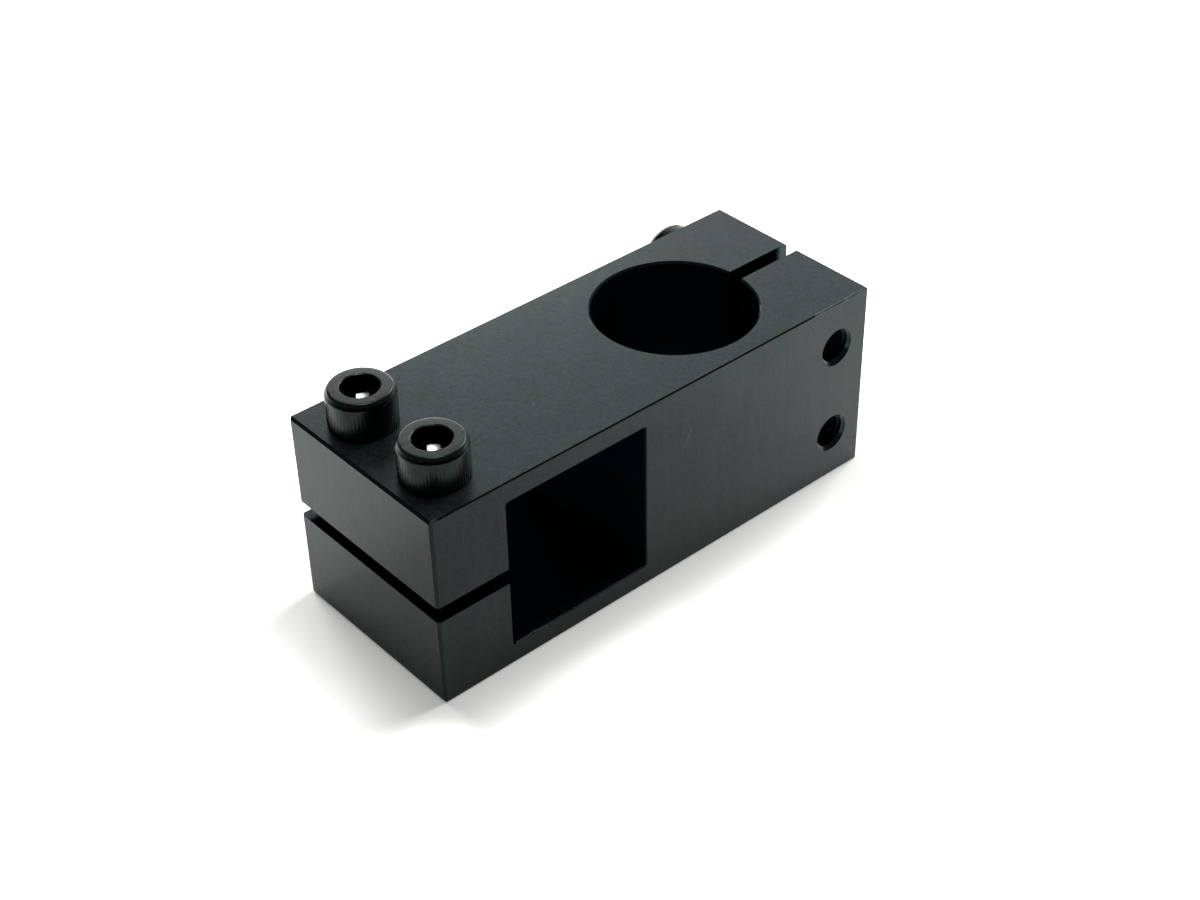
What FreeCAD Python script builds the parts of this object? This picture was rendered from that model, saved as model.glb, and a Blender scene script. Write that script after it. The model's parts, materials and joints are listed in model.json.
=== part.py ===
"""Perpendicular strut clamp: one slit block that grips a square strut and a round strut at right angles.

Frame: the origin is on the round strut's axis at the block's underside, +Z is up along that axis,
+X points to the end that grips the round strut, and the square strut runs along Y.
"""
import FreeCAD, Part
import math
import os
import Sketcher

DOCUMENT = FreeCAD.newDocument("strut_clamp")

# Driving dimensions in millimetres, and a count
DIMENSIONS = [
    ("bar_width", 32.0, "width of the bar that the block is cut from, along Y"),
    ("bar_height", 32.0, "height of the bar, along Z"),
    ("square_strut", 25.0, "side of the square strut"),
    ("round_strut", 25.0, "diameter of the round strut"),
    ("strut_clearance", 0.1, "how much wider each opening is than its strut"),
    ("strut_spacing", 33.0, "distance between the two struts' axes, along X"),
    ("square_jaw_depth", 12.5, "jaw from the square opening to its end of the block"),
    ("round_jaw_depth", 12.5, "jaw from the round opening to its end of the block"),
    ("slit_width", 2.5, "saw cut that lets a jaw close"),
    ("passage_corner", 0.4, "radius in the square opening's corners"),
    ("edge_break", 0.2, "chamfer along the block's long edges"),
    ("end_break", 0.4, "chamfer round the block's two ends"),
    ("square_rim_break", 0.2, "chamfer round the square opening's mouths"),
    ("round_rim_break", 0.3, "chamfer round the round opening's mouths"),
    ("square_screw_inset", 7.0, "square jaw's screws, from that end of the block"),
    ("square_screw_spacing", 16.0, "distance between the square jaw's screws"),
    ("round_screw_inset", 6.5, "round jaw's screws, from that end of the block"),
    ("round_screw_spacing", 16.0, "distance between the round jaw's screws"),
    ("thread_size", 6.0, "outside diameter of the screw's thread"),
    ("screw_length", 25.0, "screw below its head"),
    ("thread_clearance", 0.05, "room on each side of the thread in its tapped hole"),
    ("drill_clearance", 0.6, "how much wider the drilled hole is than the thread"),
    ("tap_mouth", 0.1, "chamfer at the mouth of a tapped hole"),
    ("head_diameter", 10.0, "screw head"),
    ("head_height", 6.0, "screw head"),
    ("head_bevel_height", 0.9, "bevel above the knurl, along the head"),
    ("head_bevel_inset", 0.5, "how far that bevel leans in"),
    ("head_rim", 0.15, "chamfer between the bevel and the head's top"),
    ("tip_break", 0.7, "chamfer on the screw's tip"),
    ("socket_flats", 5.0, "hexagon socket across its flats"),
    ("socket_depth", 3.0, "depth of the socket's walls"),
    ("socket_cone", 1.7, "depth of the cone below the walls"),
    ("socket_mouth_break", 0.5, "how far the mouth's countersink passes the flats"),
    ("socket_mouth_depth", 0.3, "depth of that countersink"),
    ("knurl_count", 60, "grooves round the head"),
    ("knurl_depth", 0.18, "depth of a groove"),
]

# Sizes and places that follow from the driving dimensions
LAYOUT = [
    ("square_opening", "Dimensions.square_strut + Dimensions.strut_clearance"),
    ("round_opening", "Dimensions.round_strut + Dimensions.strut_clearance"),
    ("round_end", "round_opening / 2 + Dimensions.round_jaw_depth"),
    ("square_end", "-Dimensions.strut_spacing - square_opening / 2 - Dimensions.square_jaw_depth"),
    ("block_length", "round_end - square_end"),
    ("block_middle", "(round_end + square_end) / 2"),
    ("square_screw_row", "square_end + Dimensions.square_screw_inset"),
    ("round_screw_row", "round_end - Dimensions.round_screw_inset"),
    ("tapped_hole", "Dimensions.thread_size + 2 * Dimensions.thread_clearance"),
    ("drilled_hole", "Dimensions.thread_size + Dimensions.drill_clearance"),
    ("head_top", "Dimensions.head_diameter - 2 * Dimensions.head_bevel_inset"),
    ("knurl_length", "Dimensions.head_height - Dimensions.head_bevel_height"),
    ("socket_mouth", "Dimensions.socket_flats + 2 * Dimensions.socket_mouth_break"),
    ("socket_bottom", "Dimensions.socket_depth + Dimensions.socket_cone"),
]

# How far each socket has turned when its screw is tight, in degrees
SOCKET_TURNS = {
    "square_jaw_screw_front": 59,
    "square_jaw_screw_rear": 30,
    "round_jaw_screw_lower": 22,
    "round_jaw_screw_upper": 10,
}

START = 1
END = 2
CENTRE = 3
ORIGIN = (-1, 1)
X_LINE = -1
Y_LINE = -2
UP = FreeCAD.Vector(0, 0, 1)
MIDDLE = FreeCAD.Vector(0, 0, 0)
ROUGH = 5.0  # starting size of a sketch, before its dimensions drive it
NEAR = 1e-4  # what counts as the same place, and as no volume


def write_sheets():
    """Fills one sheet with the driving dimensions and one with what follows from them."""
    dimensions = DOCUMENT.addObject("Spreadsheet::Sheet", "Dimensions")
    for row, (alias, value, note) in enumerate(DIMENSIONS, start=1):
        dimensions.set(f"A{row}", note)
        dimensions.set(f"B{row}", str(value))
        dimensions.setAlias(f"B{row}", alias)
    derived = DOCUMENT.addObject("Spreadsheet::Sheet", "Layout")
    for row, (alias, formula) in enumerate(LAYOUT, start=1):
        derived.set(f"A{row}", alias)
        derived.set(f"B{row}", "=" + formula)
        derived.setAlias(f"B{row}", alias)
    DOCUMENT.recompute()


def size(alias):
    """Reads a driving dimension."""
    return DOCUMENT.Dimensions.get(alias)


def layout(alias):
    """Reads a size or place that follows from the driving dimensions."""
    return DOCUMENT.Layout.get(alias)


def origin_item(body, role):
    """Finds one of the body's own origin planes or axes."""
    return next(item for item in body.Origin.OriginFeatures if item.Role == role)


def new_sketch(body, name, plane, **offsets):
    """Attaches a sketch to an origin plane, moved along the plane's own axes by expressions."""
    sketch = body.newObject("Sketcher::SketchObject", name)
    sketch.AttachmentSupport = [(origin_item(body, plane), "")]
    sketch.MapMode = "FlatFace"
    for axis, expression in offsets.items():
        sketch.setExpression(f"AttachmentOffset.Base.{axis}", expression)
    return sketch


def drive(sketch, expression, kind, *where):
    """Adds a dimension whose value comes from an expression."""
    index = sketch.addConstraint(Sketcher.Constraint(kind, *where, ROUGH))
    sketch.setExpression(f"Constraints[{index}]", expression)


def hold(sketch, kind, *where):
    """Adds a constraint that has no value."""
    sketch.addConstraint(Sketcher.Constraint(kind, *where))


def outline(sketch, points):
    """Draws a closed run of straight lines and joins their ends."""
    vectors = [FreeCAD.Vector(x, y, 0) for x, y in points]
    count = len(vectors)
    lines = []
    for index in range(count):
        edge = Part.LineSegment(vectors[index], vectors[(index + 1) % count])
        lines.append(sketch.addGeometry(edge, False))
    for index in range(count):
        hold(sketch, "Coincident", lines[index], END, lines[(index + 1) % count], START)
    return lines


def rectangle(sketch, length, height):
    """Draws a rectangle centred on the sketch's origin."""
    corners = [(-ROUGH, -ROUGH), (ROUGH, -ROUGH), (ROUGH, ROUGH), (-ROUGH, ROUGH)]
    bottom, right, top, left = outline(sketch, corners)
    for line in (bottom, top):
        hold(sketch, "Horizontal", line)
    for line in (right, left):
        hold(sketch, "Vertical", line)
    hold(sketch, "Symmetric", bottom, START, top, START, *ORIGIN)
    drive(sketch, length, "DistanceX", bottom, START, bottom, END)
    drive(sketch, height, "DistanceY", right, START, right, END)


def circle(sketch, diameter):
    """Draws a circle round the sketch's origin."""
    ring = sketch.addGeometry(Part.Circle(MIDDLE, UP, ROUGH), False)
    hold(sketch, "Coincident", ring, CENTRE, *ORIGIN)
    drive(sketch, diameter, "Diameter", ring)


def circle_pair(sketch, diameter, spacing):
    """Draws two equal circles on the sketch's Y line, on both sides of its origin."""
    rings = []
    for side in (-1, 1):
        centre = FreeCAD.Vector(0, side * 2 * ROUGH, 0)
        rings.append(sketch.addGeometry(Part.Circle(centre, UP, ROUGH), False))
    lower, upper = rings
    hold(sketch, "PointOnObject", lower, CENTRE, Y_LINE)
    hold(sketch, "Symmetric", lower, CENTRE, upper, CENTRE, *ORIGIN)
    hold(sketch, "Equal", lower, upper)
    drive(sketch, diameter, "Diameter", lower)
    drive(sketch, spacing, "DistanceY", lower, CENTRE, upper, CENTRE)


def hexagon(sketch, flats):
    """Draws a regular hexagon round the sketch's origin, with two corners on its X line."""
    steps = [math.radians(60 * step) for step in range(6)]
    lines = outline(sketch, [(ROUGH * math.cos(step), ROUGH * math.sin(step)) for step in steps])
    guide = sketch.addGeometry(Part.Circle(MIDDLE, UP, ROUGH), True)
    hold(sketch, "Coincident", guide, CENTRE, *ORIGIN)
    for line in lines:
        hold(sketch, "PointOnObject", line, START, guide)
    for line in lines[1:]:
        hold(sketch, "Equal", lines[0], line)
    hold(sketch, "PointOnObject", lines[0], START, X_LINE)
    drive(sketch, f"{flats} / cos(30)", "Diameter", guide)


def cut(body, kind, name, sketch, **settings):
    """Adds a pocket or groove, and makes sure that it takes material away."""
    before = body.Shape.Volume
    feature = body.newObject("PartDesign::" + kind, name)
    feature.Profile = sketch
    expressions = settings.pop("expressions", {})
    for key, value in settings.items():
        setattr(feature, key, value)
    for key, expression in expressions.items():
        feature.setExpression(key, expression)
    DOCUMENT.recompute()
    if not body.Shape.Volume < before - NEAR:
        raise RuntimeError(f"{name} cuts nothing")
    return feature


def dress(body, kind, name, amount, chosen):
    """Adds a chamfer or fillet on the edges that a test picks out."""
    base = body.Tip
    names = [f"Edge{i}" for i, edge in enumerate(base.Shape.Edges, start=1) if chosen(edge)]
    if not names:
        raise RuntimeError(f"{name} finds no edge")
    feature = body.newObject("PartDesign::" + kind, name)
    feature.Base = (base, names)
    feature.setExpression("Size" if kind == "Chamfer" else "Radius", amount)
    DOCUMENT.recompute()


def ring_at(axis, radius, *places):
    """Makes a test for circles of a radius that lie across an axis at the given places."""
    def chosen(edge):
        if not isinstance(edge.Curve, Part.Circle) or abs(edge.Curve.Radius - radius) > NEAR:
            return False
        return any(abs(getattr(edge.Curve.Center, axis) - place) < NEAR for place in places)
    return chosen


def revolve(body, name, sketch):
    """Adds material by turning a section round the sketch's Y line."""
    feature = body.newObject("PartDesign::Revolution", name)
    feature.Profile = sketch
    feature.ReferenceAxis = (sketch, ["V_Axis"])
    feature.Angle = 360
    DOCUMENT.recompute()


def build_block():
    """The block: a length of bar with two openings, a slit into each, and the screws' holes."""
    body = DOCUMENT.addObject("PartDesign::Body", "clamp_block")
    body.Label = "clamp_block"
    section = new_sketch(body, "bar_section", "XY_Plane", x="Layout.block_middle")
    rectangle(section, "Layout.block_length", "Dimensions.bar_width")
    bar = body.newObject("PartDesign::Pad", "bar")
    bar.Profile = section
    bar.setExpression("Length", "Dimensions.bar_height")
    DOCUMENT.recompute()
    break_edges(body)
    build_round_opening(body)
    build_square_opening(body)
    build_slits(body)
    build_square_jaw_holes(body)
    build_round_jaw_holes(body)
    return body


def break_edges(body):
    """Chamfers round both ends of the bar, then along its long edges."""
    def is_long(edge):
        start, end = edge.Vertexes
        return abs(end.X - start.X) > layout("block_length") / 2

    dress(body, "Chamfer", "end_edges", "Dimensions.end_break", lambda edge: not is_long(edge))
    dress(body, "Chamfer", "long_edges", "Dimensions.edge_break", is_long)


def build_round_opening(body):
    """The round strut's bore, up through the block, with both rims broken."""
    section = new_sketch(body, "round_opening_section", "XY_Plane")
    circle(section, "Layout.round_opening")
    cut(body, "Pocket", "round_opening", section, Type="ThroughAll", Reversed=True)
    rims = ring_at("z", layout("round_opening") / 2, 0, size("bar_height"))
    dress(body, "Chamfer", "round_rims", "Dimensions.round_rim_break", rims)


def build_square_opening(body):
    """The square strut's passage, across the block, with small corner radii and broken mouths."""
    section = new_sketch(
        body, "square_opening_section", "XZ_Plane",
        x="-Dimensions.strut_spacing", y="Dimensions.bar_height / 2")
    rectangle(section, "Layout.square_opening", "Layout.square_opening")
    cut(body, "Pocket", "square_opening", section, Type="ThroughAll", SideType="Symmetric")
    reach = layout("square_opening") / 2
    side = size("bar_width") / 2
    middle = FreeCAD.Vector(-size("strut_spacing"), 0, size("bar_height") / 2)

    def is_corner(edge):
        offset = edge.CenterOfMass - middle
        return abs(abs(offset.x) - reach) < NEAR and abs(abs(offset.z) - reach) < NEAR

    def is_mouth(edge):
        offset = edge.CenterOfMass - middle
        inside = max(abs(offset.x), abs(offset.z)) < reach + NEAR
        return inside and abs(abs(offset.y) - side) < NEAR

    dress(body, "Fillet", "square_corners", "Dimensions.passage_corner", is_corner)
    dress(body, "Chamfer", "square_mouths", "Dimensions.square_rim_break", is_mouth)


def build_slits(body):
    """A level saw cut into the square opening and an upright one into the round opening."""
    level = new_sketch(
        body, "level_slit_section", "XZ_Plane",
        x="(Layout.square_end - Dimensions.strut_spacing) / 2", y="Dimensions.bar_height / 2")
    rectangle(level, "-Dimensions.strut_spacing - Layout.square_end", "Dimensions.slit_width")
    cut(body, "Pocket", "level_slit", level, Type="ThroughAll", SideType="Symmetric")
    upright = new_sketch(body, "upright_slit_section", "XY_Plane", x="Layout.round_end / 2")
    rectangle(upright, "Layout.round_end", "Dimensions.slit_width")
    cut(body, "Pocket", "upright_slit", upright, Type="ThroughAll", Reversed=True)


def build_square_jaw_holes(body):
    """Screw lines along Z: drilled through the upper jaw and tapped through the lower one."""
    taps = new_sketch(body, "square_jaw_taps", "XY_Plane", x="Layout.square_screw_row")
    circle_pair(taps, "Layout.tapped_hole", "Dimensions.square_screw_spacing")
    cut(body, "Pocket", "square_jaw_tapped", taps, Reversed=True,
        expressions={"Length": "Dimensions.bar_height / 2"})
    tap_mouths(body, "square_jaw_tap_mouths", "z", 0)
    drills = new_sketch(
        body, "square_jaw_drills", "XY_Plane", x="Layout.square_screw_row", z="Dimensions.bar_height")
    circle_pair(drills, "Layout.drilled_hole", "Dimensions.square_screw_spacing")
    cut(body, "Pocket", "square_jaw_drilled", drills,
        expressions={"Length": "Dimensions.bar_height / 2"})


def build_round_jaw_holes(body):
    """Screw lines along Y: drilled through the rear jaw and tapped through the front one."""
    front = "Dimensions.bar_width / 2"
    height = "Dimensions.bar_height / 2"
    taps = new_sketch(body, "round_jaw_taps", "XZ_Plane", x="Layout.round_screw_row", y=height, z=front)
    circle_pair(taps, "Layout.tapped_hole", "Dimensions.round_screw_spacing")
    cut(body, "Pocket", "round_jaw_tapped", taps, expressions={"Length": "Dimensions.bar_width / 2"})
    tap_mouths(body, "round_jaw_tap_mouths", "y", -size("bar_width") / 2)
    drills = new_sketch(
        body, "round_jaw_drills", "XZ_Plane", x="Layout.round_screw_row", y=height, z="-" + front)
    circle_pair(drills, "Layout.drilled_hole", "Dimensions.round_screw_spacing")
    cut(body, "Pocket", "round_jaw_drilled", drills, Reversed=True,
        expressions={"Length": "Dimensions.bar_width / 2"})


def tap_mouths(body, name, axis, place):
    """Chamfers the outer mouths of a pair of tapped holes."""
    mouths = ring_at(axis, layout("tapped_hole") / 2, place)
    dress(body, "Chamfer", name, "Dimensions.tap_mouth", mouths)


def build_screw(label, **place):
    """A cap screw with its seat on its own XY plane, head up and shank down, then put in its hole."""
    body = DOCUMENT.addObject("PartDesign::Body", label)
    body.Label = label
    profile = new_sketch(body, label + "_profile", "XZ_Plane")
    draw_screw_profile(profile)
    revolve(body, label + "_turned", profile)
    rim = ring_at("z", layout("head_top") / 2, size("head_height"))
    dress(body, "Chamfer", label + "_rim", "Dimensions.head_rim", rim)
    cut_socket(body, label)
    cut_knurl(body, label)
    for axis, expression in place.items():
        body.setExpression(f"Placement.Base.{axis}", expression)
    return body


def draw_screw_profile(sketch):
    """Half of the screw's section: tip, shank and bevelled head, closed along the axis."""
    rough = [(0, -4), (2, -4), (3, -3), (3, 0), (5, 0), (5, 5), (4, 6), (0, 6)]
    end, tip, shank, seat, side, bevel, top, axis = outline(sketch, rough)
    for line in (end, seat, top):
        hold(sketch, "Horizontal", line)
    for line in (shank, side):
        hold(sketch, "Vertical", line)
    hold(sketch, "PointOnObject", axis, START, Y_LINE)
    hold(sketch, "PointOnObject", axis, END, Y_LINE)
    hold(sketch, "PointOnObject", seat, START, X_LINE)
    drive(sketch, "Dimensions.thread_size / 2", "DistanceX", *ORIGIN, seat, START)
    drive(sketch, "Dimensions.head_diameter / 2", "DistanceX", *ORIGIN, seat, END)
    drive(sketch, "Dimensions.head_height", "DistanceY", *ORIGIN, bevel, END)
    drive(sketch, "Dimensions.head_bevel_height", "DistanceY", bevel, START, bevel, END)
    drive(sketch, "Layout.head_top / 2", "DistanceX", *ORIGIN, bevel, END)
    drive(sketch, "Dimensions.screw_length", "DistanceY", end, END, *ORIGIN)
    drive(sketch, "Dimensions.tip_break", "DistanceX", tip, START, tip, END)
    drive(sketch, "Dimensions.tip_break", "DistanceY", tip, START, tip, END)


def cut_socket(body, label):
    """The hexagon socket with its cone-shaped floor and its countersunk mouth."""
    walls = new_sketch(body, label + "_hexagon", "XY_Plane", z="Dimensions.head_height")
    walls.setExpression("AttachmentOffset.Rotation.Angle", str(SOCKET_TURNS[label]))
    hexagon(walls, "Dimensions.socket_flats")
    cut(body, "Pocket", label + "_socket", walls, expressions={"Length": "Layout.socket_bottom"})

    cone = new_sketch(body, label + "_floor_section", "XZ_Plane", y="Dimensions.head_height")
    bottom, wall, _ = outline(cone, [(0, -5), (3, -5), (3, -3)])
    hold(cone, "Horizontal", bottom)
    hold(cone, "Vertical", wall)
    hold(cone, "PointOnObject", bottom, START, Y_LINE)
    drive(cone, "Layout.socket_mouth / 2", "DistanceX", bottom, START, bottom, END)
    drive(cone, "Dimensions.socket_depth", "DistanceY", wall, END, *ORIGIN)
    drive(cone, "Layout.socket_bottom", "DistanceY", bottom, START, *ORIGIN)
    revolve(body, label + "_floor", cone)

    mouth = new_sketch(body, label + "_mouth_section", "XZ_Plane", y="Dimensions.head_height")
    axis, ledge, _, rim = outline(mouth, [(0, 0), (0, -1), (2, -1), (3, 0)])
    hold(mouth, "Coincident", axis, START, *ORIGIN)
    hold(mouth, "Vertical", axis)
    hold(mouth, "Horizontal", ledge)
    hold(mouth, "Horizontal", rim)
    drive(mouth, "Dimensions.socket_mouth_depth", "DistanceY", axis, END, axis, START)
    drive(mouth, "Dimensions.socket_flats / 2", "DistanceX", ledge, START, ledge, END)
    drive(mouth, "Layout.socket_mouth / 2", "DistanceX", rim, END, rim, START)
    cut(body, "Groove", label + "_mouth", mouth, ReferenceAxis=(mouth, ["V_Axis"]), Angle=360)


def cut_knurl(body, label):
    """Straight knurl: one V groove from the head's seat to its bevel, repeated round it."""
    vee = new_sketch(body, label + "_vee_section", "XY_Plane")
    lower, back, _ = outline(vee, [(4, 0), (6, -1), (6, 1)])
    hold(vee, "PointOnObject", lower, START, X_LINE)
    hold(vee, "Symmetric", back, START, back, END, X_LINE)
    drive(vee, "Dimensions.head_diameter / 2 - Dimensions.knurl_depth", "DistanceX", *ORIGIN, lower, START)
    drive(vee, "2 * Dimensions.knurl_depth", "DistanceX", lower, START, lower, END)
    drive(vee, "4 * Dimensions.knurl_depth", "DistanceY", back, START, back, END)
    groove = cut(body, "Pocket", label + "_groove", vee, Reversed=True,
                 expressions={"Length": "Layout.knurl_length"})
    before = body.Shape.Volume
    knurl = body.newObject("PartDesign::PolarPattern", label + "_knurl")
    knurl.Originals = [groove]
    knurl.Axis = (origin_item(body, "Z_Axis"), [""])
    knurl.Angle = 360
    knurl.setExpression("Occurrences", "Dimensions.knurl_count")
    body.Tip = knurl
    DOCUMENT.recompute()
    if not body.Shape.Volume < before - NEAR:
        raise RuntimeError(f"{label} has no knurl")


def build_screws():
    """Two screws down through the square jaw and two through the round jaw from the rear."""
    screws = []
    for side, sign in (("front", "-"), ("rear", "")):
        screws.append(build_screw(
            "square_jaw_screw_" + side,
            x="Layout.square_screw_row",
            y=sign + "Dimensions.square_screw_spacing / 2",
            z="Dimensions.bar_height"))
    head_to_rear = FreeCAD.Rotation(FreeCAD.Vector(1, 0, 0), -90)
    for side, sign in (("lower", "-"), ("upper", "+")):
        screw = build_screw(
            "round_jaw_screw_" + side,
            x="Layout.round_screw_row",
            y="Dimensions.bar_width / 2",
            z=f"Dimensions.bar_height / 2 {sign} Dimensions.round_screw_spacing / 2")
        screw.Placement = FreeCAD.Placement(screw.Placement.Base, head_to_rear)
        screws.append(screw)
    DOCUMENT.recompute()
    return screws


def check(bodies):
    """Stops if any object failed or any sub-part isn't one valid solid."""
    for item in DOCUMENT.Objects:
        if "Invalid" in item.State or "Error" in item.State:
            raise RuntimeError(f"{item.Label} failed: {item.State}")
    for body in bodies:
        shape = body.Shape
        if shape.isNull() or not shape.isValid() or len(shape.Solids) != 1:
            raise RuntimeError(f"{body.Label} isn't one valid solid")


def export(bodies):
    """Writes each sub-part, in its place, to its own file."""
    os.makedirs("parts", exist_ok=True)
    for body in bodies:
        body.Shape.exportStep(f"parts/{body.Label}.step")
        box = body.Shape.optimalBoundingBox()
        print(f"{body.Label}: {body.Shape.Volume:.1f} mm3, "
              f"X {box.XMin:.2f} to {box.XMax:.2f}, "
              f"Y {box.YMin:.2f} to {box.YMax:.2f}, "
              f"Z {box.ZMin:.2f} to {box.ZMax:.2f}")


def main():
    write_sheets()
    bodies = [build_block()] + build_screws()
    check(bodies)
    export(bodies)


main()
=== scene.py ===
"""Looks of a black perpendicular strut clamp: finishes, threads and cap screws, in a plain studio."""
import functools
import json
import math

import bmesh
import bpy
from mathutils import Euler, Matrix, Vector


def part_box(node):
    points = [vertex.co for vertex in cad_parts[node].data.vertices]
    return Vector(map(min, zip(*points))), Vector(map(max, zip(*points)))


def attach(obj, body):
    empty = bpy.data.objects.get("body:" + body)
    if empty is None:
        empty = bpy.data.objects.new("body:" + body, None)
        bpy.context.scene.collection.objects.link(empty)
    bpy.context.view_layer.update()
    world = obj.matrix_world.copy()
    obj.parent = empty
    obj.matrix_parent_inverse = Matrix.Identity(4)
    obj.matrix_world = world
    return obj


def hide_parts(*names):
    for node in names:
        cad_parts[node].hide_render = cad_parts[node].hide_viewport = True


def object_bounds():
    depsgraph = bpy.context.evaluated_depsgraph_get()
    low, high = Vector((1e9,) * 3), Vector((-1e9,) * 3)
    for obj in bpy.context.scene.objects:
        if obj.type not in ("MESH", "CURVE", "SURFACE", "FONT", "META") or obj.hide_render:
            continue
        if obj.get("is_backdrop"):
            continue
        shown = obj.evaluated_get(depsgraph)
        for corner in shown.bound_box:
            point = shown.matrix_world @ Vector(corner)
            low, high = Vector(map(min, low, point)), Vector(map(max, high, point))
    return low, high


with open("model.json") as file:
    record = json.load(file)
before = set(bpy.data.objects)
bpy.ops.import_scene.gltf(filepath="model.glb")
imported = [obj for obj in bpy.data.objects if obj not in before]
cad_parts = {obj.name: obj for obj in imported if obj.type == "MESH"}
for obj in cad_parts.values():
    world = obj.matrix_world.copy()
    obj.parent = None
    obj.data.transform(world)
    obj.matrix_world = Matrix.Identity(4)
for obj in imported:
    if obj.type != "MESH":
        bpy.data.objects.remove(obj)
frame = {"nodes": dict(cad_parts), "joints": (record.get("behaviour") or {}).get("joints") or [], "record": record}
cad_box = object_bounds()

# Lengths in this script are millimetres, and MM turns them into the frame's metres
MM = 0.001

# Nodes and bodies of the frame
BLOCK_NODE = "clamp_block"
BLOCK_BODY = "block"
# How far each screw's hexagon socket is turned, in degrees
SOCKET_TURNS = {
    "square_screw_front": 59,
    "square_screw_rear": 30,
    "round_screw_lower": 22,
    "round_screw_upper": 10,
}

# Head of a cap screw
KNURL_GROOVES = 60
KNURL_DEPTH = 0.12
# How deep a groove is from one side to the other, as shares of the knurl's depth
GROOVE_SHAPE = (0.0, 0.15, 0.5, 0.85, 1.0, 0.85, 0.5, 0.15)
# Height as a share of the knurled side, with the share of the knurl's depth there
KNURL_RUN = ((0.96, 0.0), (0.85, 0.15), (0.5, 0.25), (0.2, 0.55), (0.0, 0.6))
# Bevel round the top, with the roundings above and below it
BEVEL_HEIGHT = 0.9
BEVEL_INSET = 0.5
RIM_RADIUS = 0.5
RIM_STEPS = 8
SHOULDER_RADIUS = 0.4
SHOULDER_STEPS = 4
FOOT_BREAK = 0.2
# Hexagon socket, with a broken mouth and a cone for its floor, whose width is a share of the socket's
SOCKET_FLATS = 5.0
SOCKET_DEPTH = 3.0
SOCKET_CONE = 1.7
CONE_SHARE = 0.98
MOUTH_BREAK = 0.5
MOUTH_DEPTH = 0.3

# Shank of a cap screw
NECK_RADIUS = 0.25
NECK_STEPS = 3
TIP_BREAK = 0.7
# Metric coarse thread, with its shape as shares of its pitch along the axis and of its depth
THREAD_RADIUS = 3.0
THREAD_PITCH = 1.0
THREAD_DEPTH = 0.61
THREAD_POINTS = 60
THREAD_SHAPE = ((0.0, 0.0), (0.125, 0.0), (0.479, 1.0), (0.646, 1.0))
# How far below the head the thread begins and reaches its full depth
THREAD_FADE = (0.6, 1.6)

# Thread left standing in a tapped hole, rooted a little in its wall
HOLE_RADIUS = 3.05
RIDGE_ROOT = 0.04
RIDGE_CREST_RADIUS = 2.55
RIDGE_FOOT_WIDTH = 0.86
RIDGE_CREST_WIDTH = 0.25
# How far from the hole's mouth it begins, and how far short of the screw's tip it ends
RIDGE_MOUTH_GAP = 0.1
RIDGE_TIP_GAP = 0.75
# The share of a turn in which it runs out, and where round the hole it starts
RIDGE_RUN_OUT = 0.3
RIDGE_START = math.radians(112)

# Points nearer to each other than this are joined, and flatter edges than this shade smooth
WELD = 0.0005
SMOOTH_ANGLE = math.radians(25)


class Surface:
    """Points and faces of a mesh, gathered ring by ring."""

    def __init__(self):
        self.points = []
        self.faces = []

    def ring(self, points):
        """Adds points and returns their numbers."""
        first = len(self.points)
        self.points.extend(points)
        return list(range(first, len(self.points)))

    def skin(self, inner, outer):
        """Joins two closed rings. The outer one has as many points as the inner one, or a multiple."""
        share = len(outer) // len(inner)
        for k, here in enumerate(inner):
            after = inner[(k + 1) % len(inner)]
            steps = [outer[(share * k + i) % len(outer)] for i in range(share + 1)]
            if share == 1:
                self.faces.append((here, after, steps[1], steps[0]))
                continue
            half = share // 2
            self.faces.append((here, after, steps[half]))
            for i in range(share):
                self.faces.append((here if i < half else after, steps[i + 1], steps[i]))

    def strip(self, one, two):
        """Joins two open lines of points."""
        for k in range(len(one) - 1):
            self.faces.append((one[k], one[k + 1], two[k + 1], two[k]))

    def fan(self, centre, ring):
        """Closes a ring towards one point."""
        (middle,) = self.ring([centre])
        for k, here in enumerate(ring):
            self.faces.append((middle, here, ring[(k + 1) % len(ring)]))

    def make(self, name, material, place):
        """Turns the surface into an object that stands where place says."""
        mesh = bpy.data.meshes.new(name)
        mesh.from_pydata([Vector(point) * MM for point in self.points], [], self.faces)
        work = bmesh.new()
        work.from_mesh(mesh)
        bmesh.ops.remove_doubles(work, verts=work.verts, dist=WELD * MM)
        bmesh.ops.recalc_face_normals(work, faces=work.faces)
        work.to_mesh(mesh)
        work.free()
        mesh.shade_smooth()
        mesh.set_sharp_from_angle(angle=SMOOTH_ANGLE)
        mesh.materials.append(material)
        piece = bpy.data.objects.new(name, mesh)
        bpy.context.scene.collection.objects.link(piece)
        piece.matrix_world = place
        return piece


def at(angle, radius, height):
    """A point at an angle round the Z axis."""
    return (radius * math.cos(angle), radius * math.sin(angle), height)


def share_between(value, low, high):
    """How far a value lies from low to high, from 0 to 1."""
    return min(1.0, max(0.0, (value - low) / (high - low)))


class CapScrew:
    """The sizes of one socket head cap screw, with its seat at height 0 and its head up."""

    def __init__(self, body):
        (joint,) = [joint for joint in frame["joints"] if joint["child"] == body]
        (self.node,) = frame["record"]["behaviour"]["bodies"][body]
        self.seat = Vector(joint["pos_m"])
        self.axis = Vector(joint["axis"])
        low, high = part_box(self.node)
        self.tip, self.top = [(corner - self.seat).dot(self.axis) / MM for corner in (low, high)]
        self.radius = min(high - low) / 2 / MM
        self.turn = math.radians(SOCKET_TURNS[body])
        block_low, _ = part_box(BLOCK_NODE)
        self.hole_end = (block_low - self.seat).dot(self.axis) / MM

    def place(self):
        """Where the screw's own frame stands in the part's frame."""
        turn = Vector((0, 0, 1)).rotation_difference(self.axis)
        return Matrix.Translation(self.seat) @ turn.to_matrix().to_4x4()


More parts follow.
